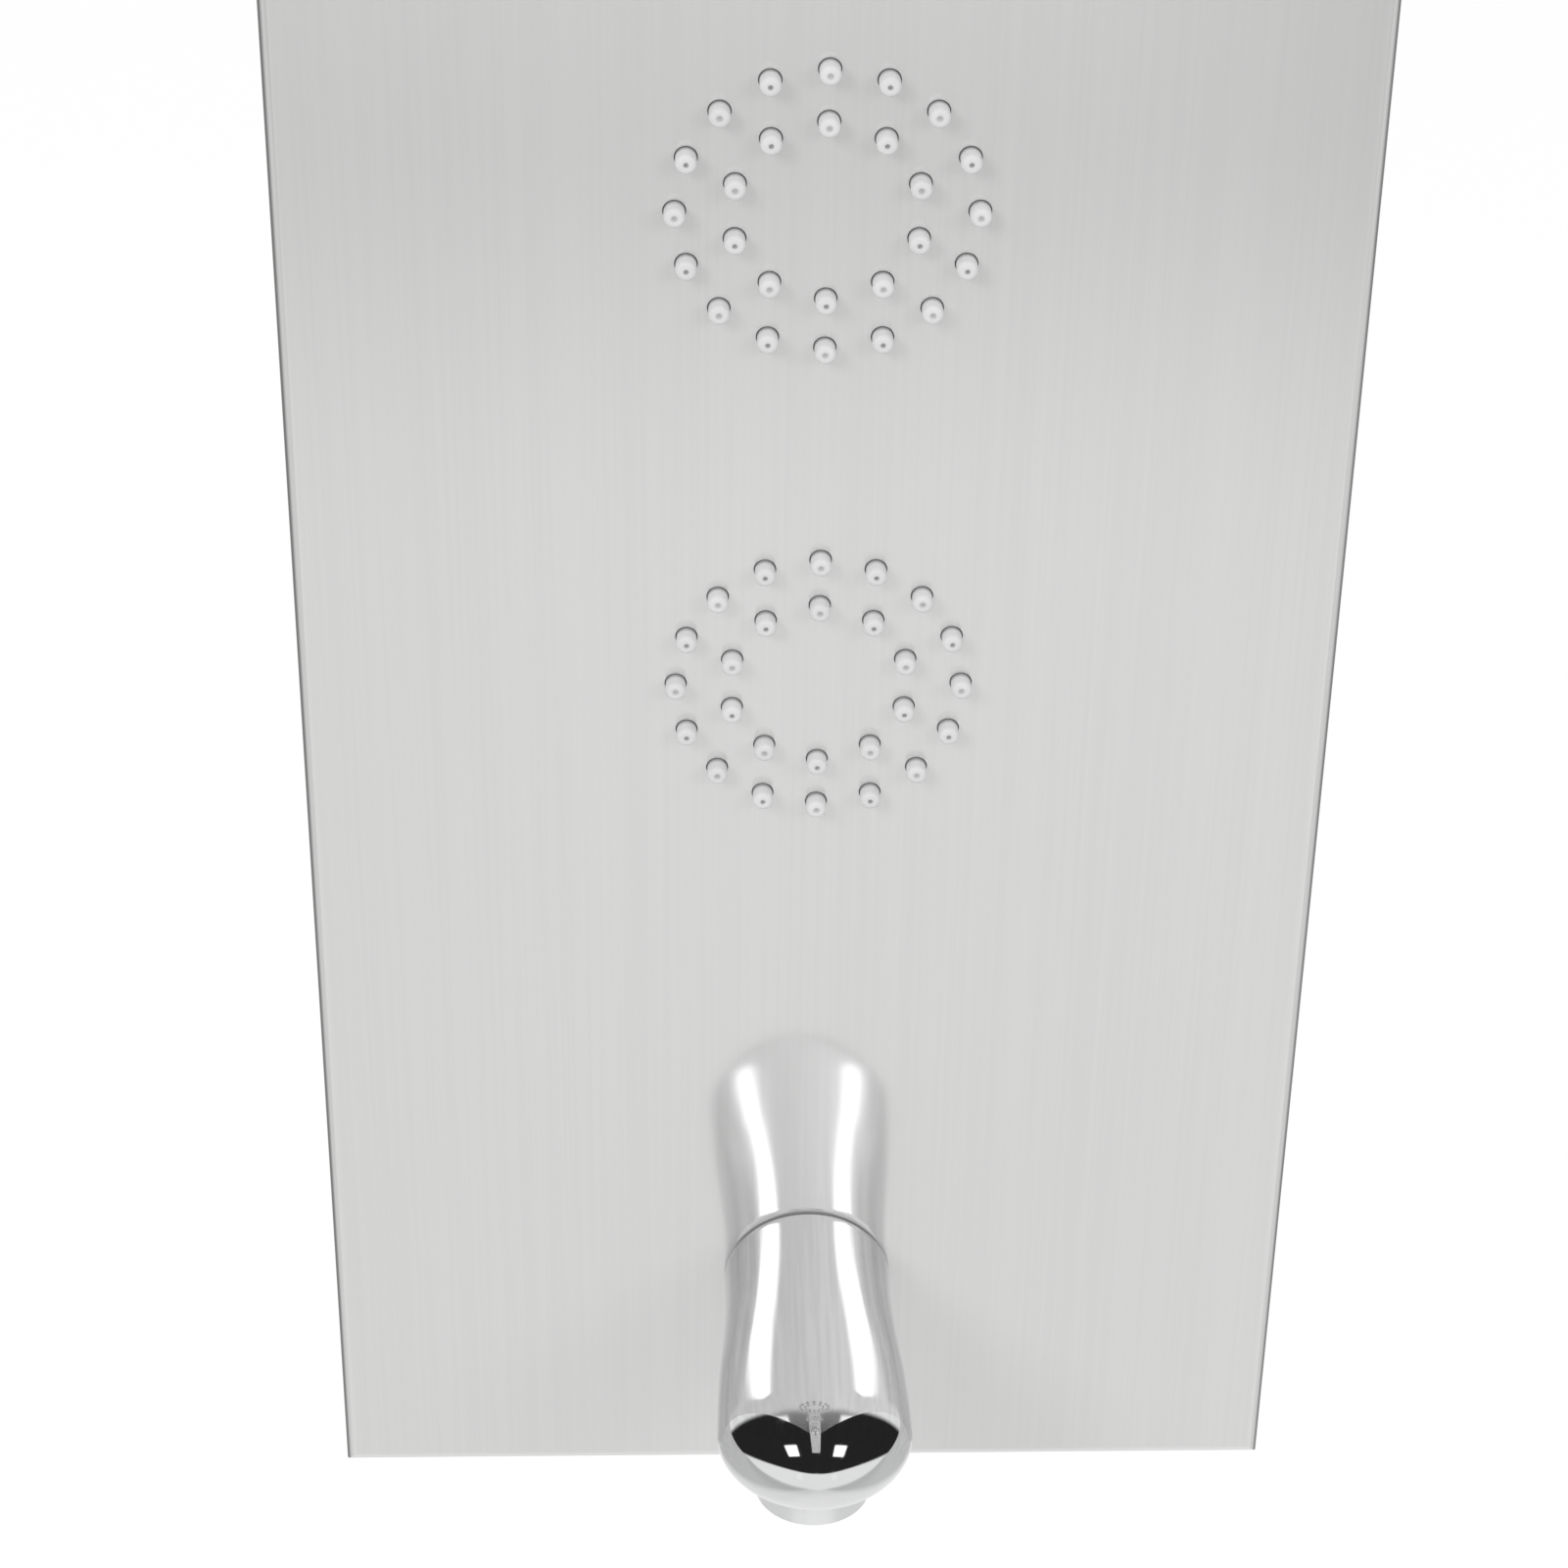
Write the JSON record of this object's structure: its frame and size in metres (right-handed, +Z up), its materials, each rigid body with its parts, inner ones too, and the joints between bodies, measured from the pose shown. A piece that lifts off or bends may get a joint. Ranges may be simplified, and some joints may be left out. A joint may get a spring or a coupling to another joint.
{
  "type": "shower panel column",
  "caption": "Tall brushed steel shower panel with through-sheet body jets, a polished bath spout, a lever mixer, a diverter knob and an overhead rain hood.",
  "frame": {"origin": "middle of the four wall screw holes, on the wall plane, at half the column height", "axes": "+Z up, +Y into the wall, +X to the right seen from the room"},
  "size_m": [0.2044, 0.455, 1.33],
  "materials": {
    "sheet_steel": "brushed along its height",
    "plain_steel": "plain rolled sheet",
    "screw_steel": "turned and polished",
    "chrome": "polished plating",
    "brass": "cast and machined",
    "silicone": "pale grey silicone",
    "seal_rubber": "black seal rubber",
    "hose_rubber": "rubber hose in a steel braid",
    "pale_plastic": "moulded",
    "dark_plastic": "moulded",
    "ceramic": "ground and lapped ceramic"
  },
  "bodies": {
    "column": {"aerator_insert": "pale_plastic", "aerator_ring": "chrome", "aerator_seal": "seal_rubber", "cartridge_base": "pale_plastic", "cartridge_housing": "pale_plastic", "cartridge_nut": "brass", "cartridge_seals": "seal_rubber", "diverter_body": "brass", "diverter_escutcheon": "chrome", "diverter_locknut": "brass", "diverter_nut": "brass", "diverter_sleeve": "pale_plastic", "fixed_disc": "ceramic", "head_bolts": "screw_steel", "head_bracket": "plain_steel", "head_face": "sheet_steel", "head_nuts": "screw_steel", "head_screws": "screw_steel", "head_shell": "sheet_steel", "jet_chamber_lower": "pale_plastic", "jet_chamber_upper": "pale_plastic", "jet_link_tube": "hose_rubber", "jet_mat_lower": "silicone", "jet_mat_upper": "silicone", "jet_nuts": "screw_steel", "jet_studs": "screw_steel", "jet_tube": "hose_rubber", "link_tube": "hose_rubber", "mixer_body": "brass", "mixer_escutcheon": "chrome", "mixer_locknut": "brass", "panel_casing": "sheet_steel", "rain_chamber": "pale_plastic", "rain_mat": "silicone", "rain_nuts": "screw_steel", "rain_studs": "screw_steel", "rain_tube": "hose_rubber", "side_screws": "screw_steel", "spout_body": "chrome", "spout_gasket": "seal_rubber", "spout_locknut": "brass", "spout_shank": "brass", "spout_tube": "hose_rubber", "spout_washer": "seal_rubber", "tube_clamps": "screw_steel", "wall_bracket_lower": "plain_steel", "wall_bracket_upper": "plain_steel"},
    "turret": {"lever_turret": "dark_plastic", "lever_pin": "screw_steel"},
    "lever": {"lever_spindle": "brass", "mixer_handle": "chrome", "handle_screw": "screw_steel", "handle_cap": "chrome"},
    "disc": {"moving_disc": "ceramic"},
    "knob": {"diverter_rotor": "brass", "diverter_knob": "chrome", "knob_screw": "screw_steel", "knob_cap": "chrome"}
  },
  "joints": [
    {"name": "mixer_turn", "type": "hinge", "parent": "column", "child": "turret", "pos_m": [0, -0.073, -0.15], "axis": [0, -1, 0], "range_deg": [-45, 45]},
    {"name": "mixer_lift", "type": "hinge", "parent": "turret", "child": "lever", "pos_m": [0, -0.073, -0.15], "axis": [-1, 0, 0], "range_deg": [0, 20]},
    {"name": "disc_slide", "type": "slide", "parent": "turret", "child": "disc", "axis": [0, 0, -1], "range_m": [0, 0.0035]},
    {"name": "diverter_turn", "type": "hinge", "parent": "column", "child": "knob", "pos_m": [0, -0.055, -0.01], "axis": [0, -1, 0], "continuous": true}
  ],
  "couplings": [
    {"joint": "disc_slide", "follows": "mixer_lift", "m_per_rad": 0.01}
  ]
}
